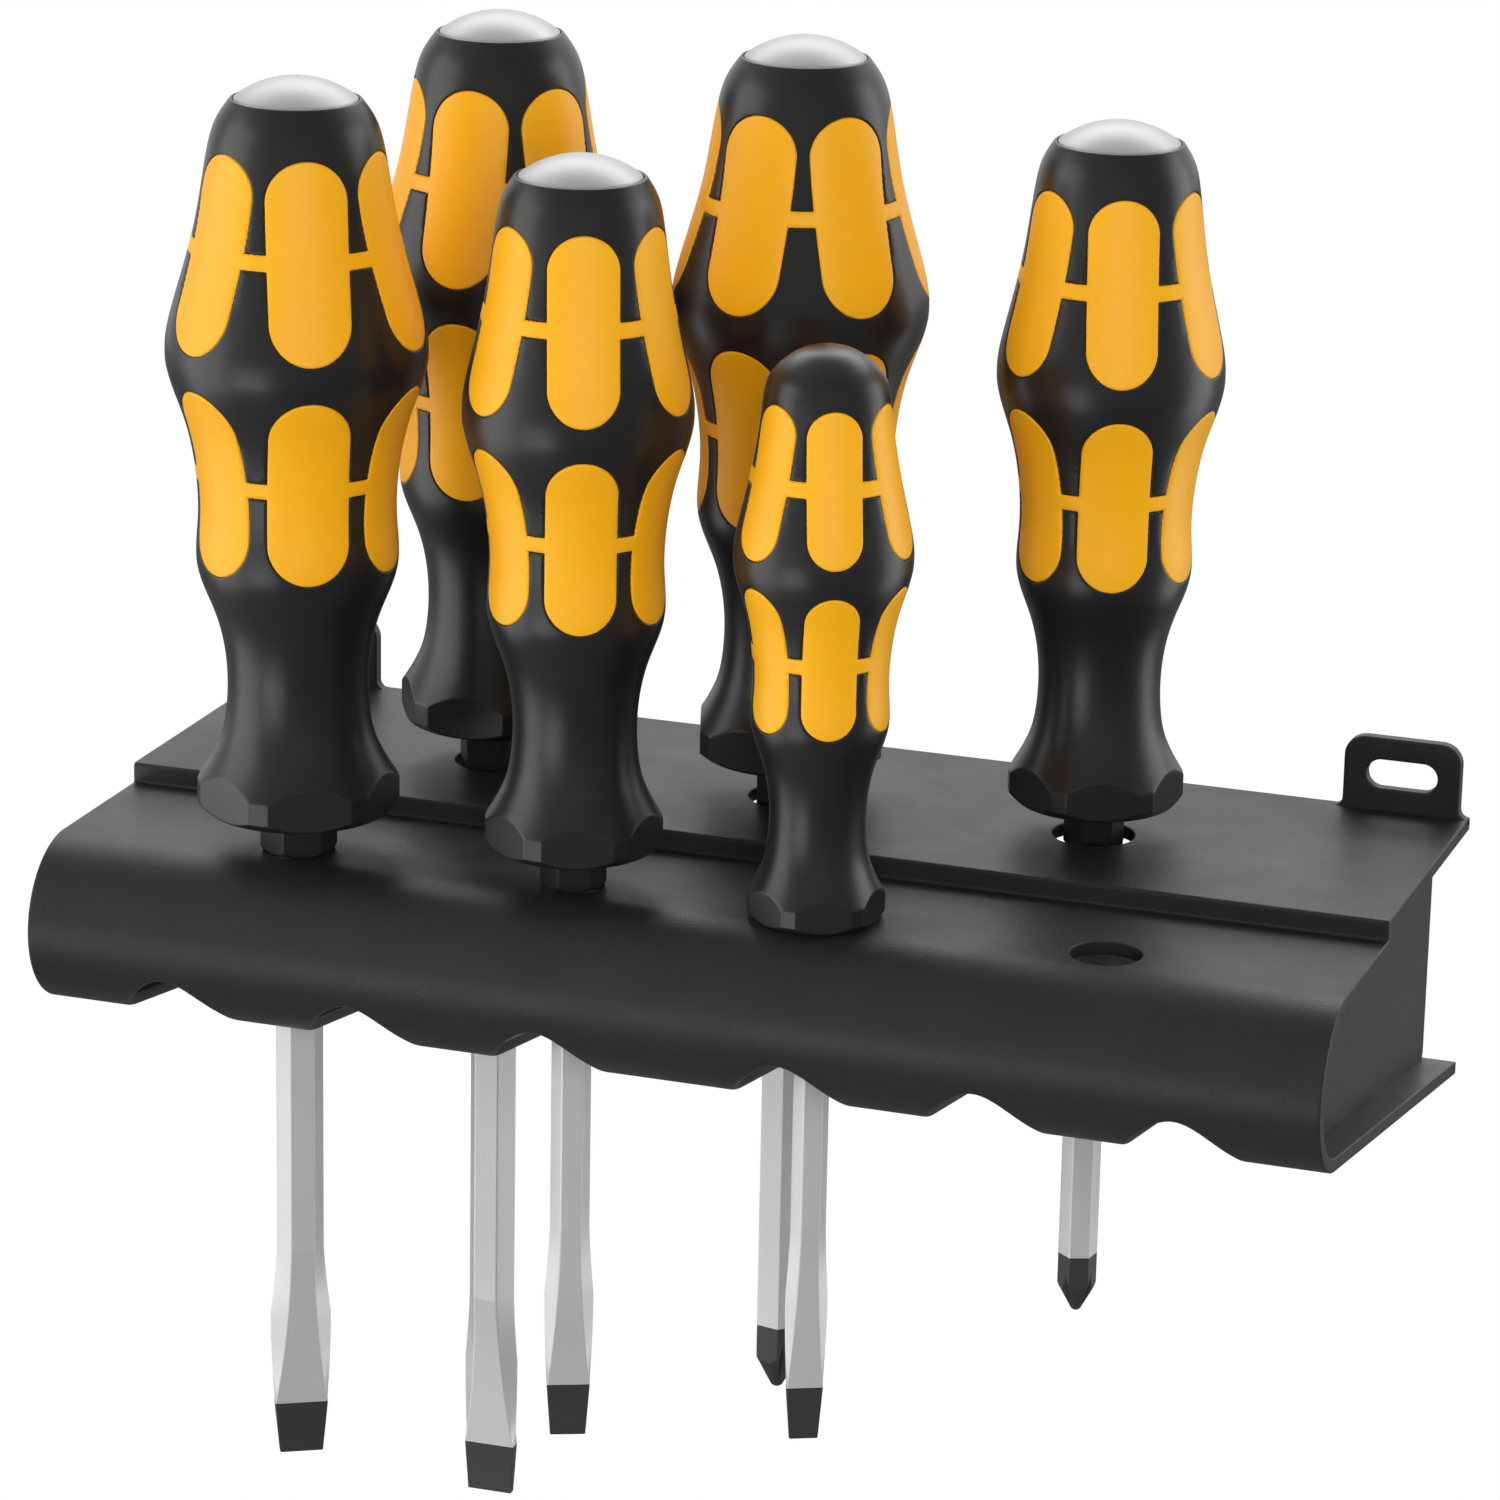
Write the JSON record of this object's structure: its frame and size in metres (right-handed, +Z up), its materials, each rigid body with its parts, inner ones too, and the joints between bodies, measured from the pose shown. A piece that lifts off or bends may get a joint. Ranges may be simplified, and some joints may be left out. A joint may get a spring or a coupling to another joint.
{
  "type": "screwdriver set with rack",
  "caption": "Set of slotted and cross-tip screwdrivers with hexagon bolsters and striking caps, standing in a moulded wall rack with a spare hole.",
  "frame": {"origin": "midway between the centres of the two wall slots, on the wall plane", "axes": "+X along the rack to the right, +Y into the wall, +Z up"},
  "size_m": [0.19, 0.0884, 0.2305],
  "materials": {
    "rack_plastic": "fine matt texture",
    "grip_black": "soft satin",
    "grip_yellow": "satin",
    "blade_steel": "satin chrome with blackened tips",
    "bolster_steel": "black satin",
    "cap_steel": "blasted satin"
  },
  "bodies": {
    "root": {"rack": "rack_plastic", "slotted_long_blade": "blade_steel", "slotted_long_bolster": "bolster_steel", "slotted_long_core": "grip_yellow", "slotted_long_skin": "grip_black", "slotted_long_cap": "cap_steel", "slotted_middle_blade": "blade_steel", "slotted_middle_bolster": "bolster_steel", "slotted_middle_core": "grip_yellow", "slotted_middle_skin": "grip_black", "slotted_middle_cap": "cap_steel", "slotted_short_blade": "blade_steel", "slotted_short_bolster": "bolster_steel", "slotted_short_core": "grip_yellow", "slotted_short_skin": "grip_black", "slotted_short_cap": "cap_steel", "slotted_fine_blade": "blade_steel", "slotted_fine_core": "grip_yellow", "slotted_fine_skin": "grip_black", "cross_large_blade": "blade_steel", "cross_large_bolster": "bolster_steel", "cross_large_core": "grip_yellow", "cross_large_skin": "grip_black", "cross_large_cap": "cap_steel", "cross_small_blade": "blade_steel", "cross_small_bolster": "bolster_steel", "cross_small_core": "grip_yellow", "cross_small_skin": "grip_black", "cross_small_cap": "cap_steel"}
  },
  "joints": []
}
